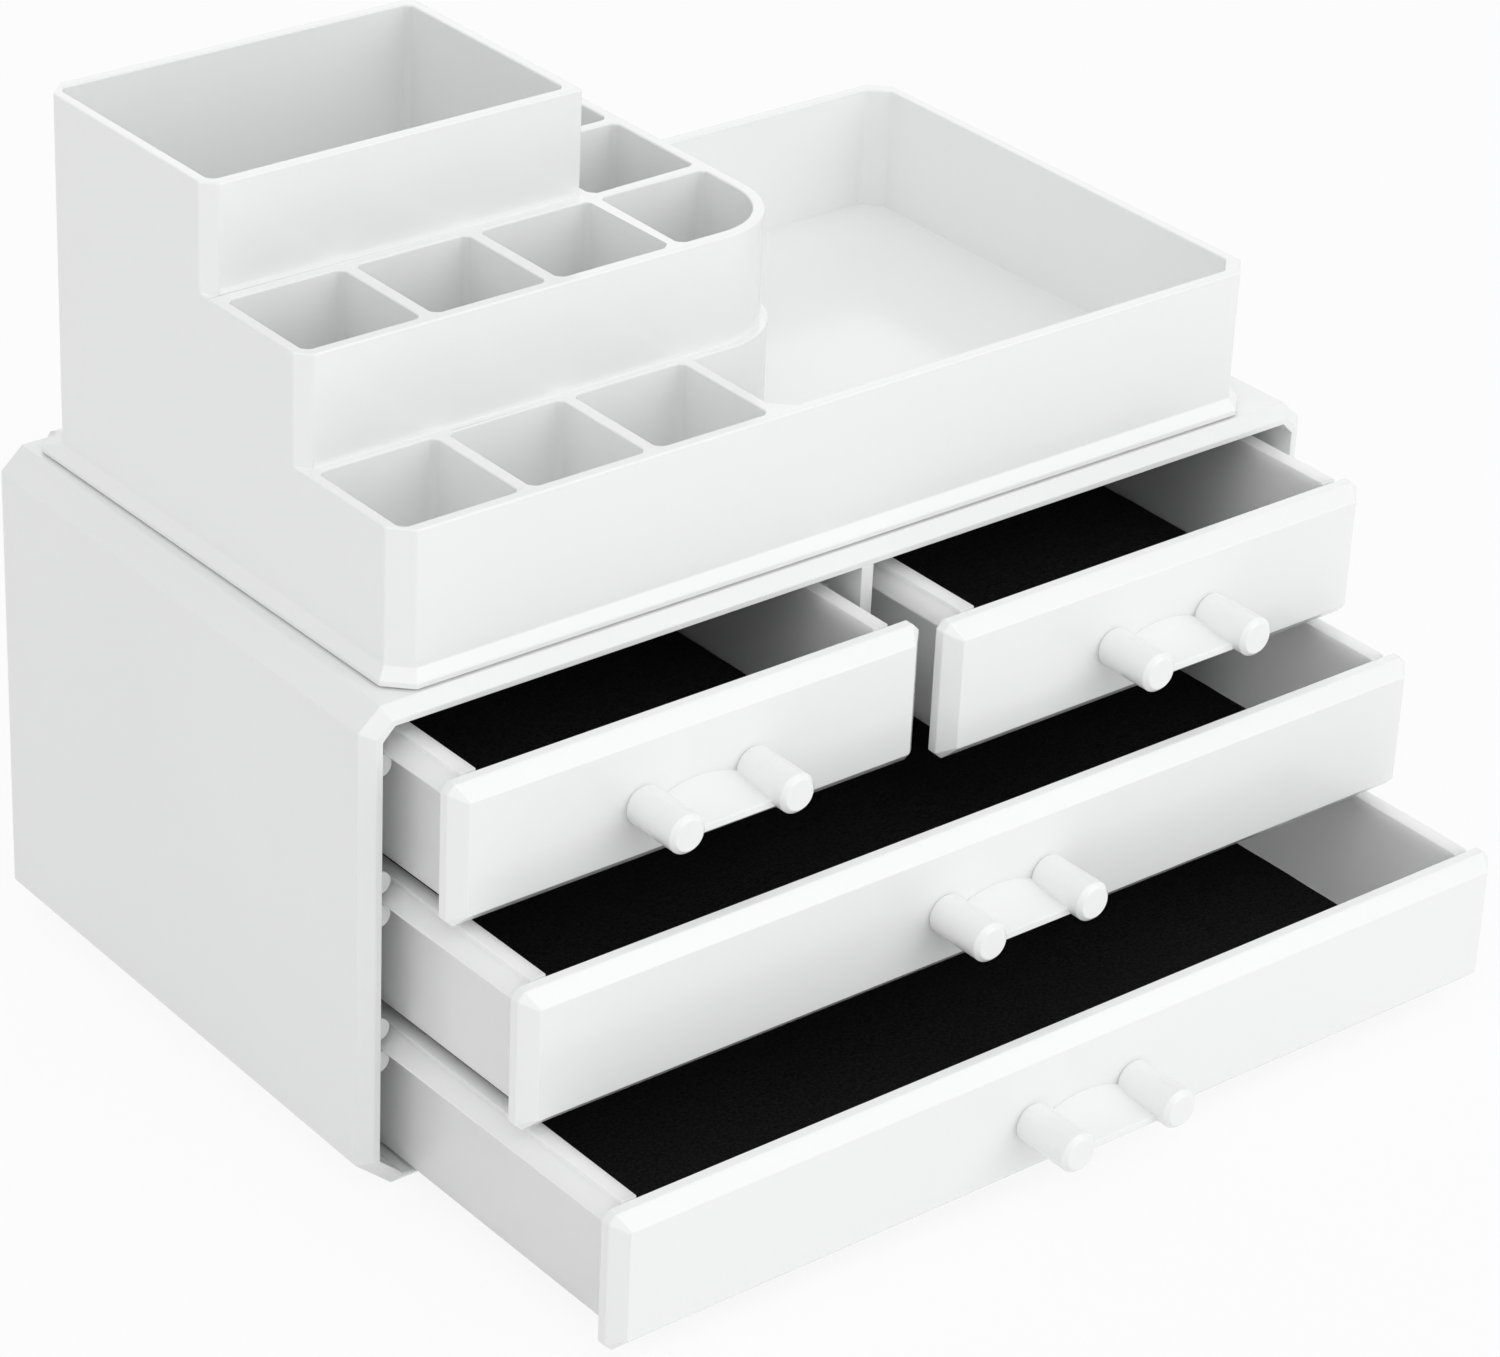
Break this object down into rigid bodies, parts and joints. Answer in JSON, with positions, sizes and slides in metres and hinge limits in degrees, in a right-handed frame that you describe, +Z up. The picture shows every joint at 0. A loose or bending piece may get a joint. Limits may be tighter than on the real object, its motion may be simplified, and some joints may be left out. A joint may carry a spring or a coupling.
{
  "type": "acrylic makeup organizer",
  "caption": "Vanity organizer in glossy white plastic: a low cabinet of felt-lined sliding drawers under a lift-off stepped caddy with an open tray, upright cells and a tall bin.",
  "frame": {"origin": "centre of the cabinet's base, on the surface it stands on", "axes": "+X to the user's right, +Y to the back, +Z up; the drawers open towards -Y"},
  "size_m": [0.24, 0.2178, 0.186],
  "materials": {
    "white_plastic": "gloss",
    "black_felt": "matte"
  },
  "bodies": {
    "cabinet": {"cabinet_shell": "white_plastic", "cabinet_back": "white_plastic", "runners_left": "white_plastic", "runners_right": "white_plastic", "center_hanger": "white_plastic"},
    "caddy": {"caddy_base": "white_plastic", "caddy_tray": "white_plastic", "caddy_tier": "white_plastic", "caddy_bin": "white_plastic"},
    "drawer_top_left": {"drawer_top_left_tray": "white_plastic", "drawer_top_left_front": "white_plastic", "drawer_top_left_handle": "white_plastic", "drawer_top_left_liner": "black_felt"},
    "drawer_top_right": {"drawer_top_right_tray": "white_plastic", "drawer_top_right_front": "white_plastic", "drawer_top_right_handle": "white_plastic", "drawer_top_right_liner": "black_felt"},
    "drawer_middle": {"drawer_middle_tray": "white_plastic", "drawer_middle_front": "white_plastic", "drawer_middle_handle": "white_plastic", "drawer_middle_liner": "black_felt"},
    "drawer_bottom": {"drawer_bottom_tray": "white_plastic", "drawer_bottom_front": "white_plastic", "drawer_bottom_handle": "white_plastic", "drawer_bottom_liner": "black_felt"}
  },
  "joints": [
    {"name": "drawer_top_left_slide", "type": "slide", "parent": "cabinet", "child": "drawer_top_left", "axis": [0, -1, 0], "range_m": [-0.015, 0.085]},
    {"name": "drawer_top_right_slide", "type": "slide", "parent": "cabinet", "child": "drawer_top_right", "axis": [0, -1, 0], "range_m": [-0.0188, 0.0812]},
    {"name": "drawer_middle_slide", "type": "slide", "parent": "cabinet", "child": "drawer_middle", "axis": [0, -1, 0], "range_m": [-0.0377, 0.0623]},
    {"name": "drawer_bottom_slide", "type": "slide", "parent": "cabinet", "child": "drawer_bottom", "axis": [0, -1, 0], "range_m": [-0.0666, 0.0334]},
    {"name": "caddy_lift", "type": "slide", "parent": "cabinet", "child": "caddy", "axis": [0, 0, 1], "range_m": [0, 0.12]}
  ]
}
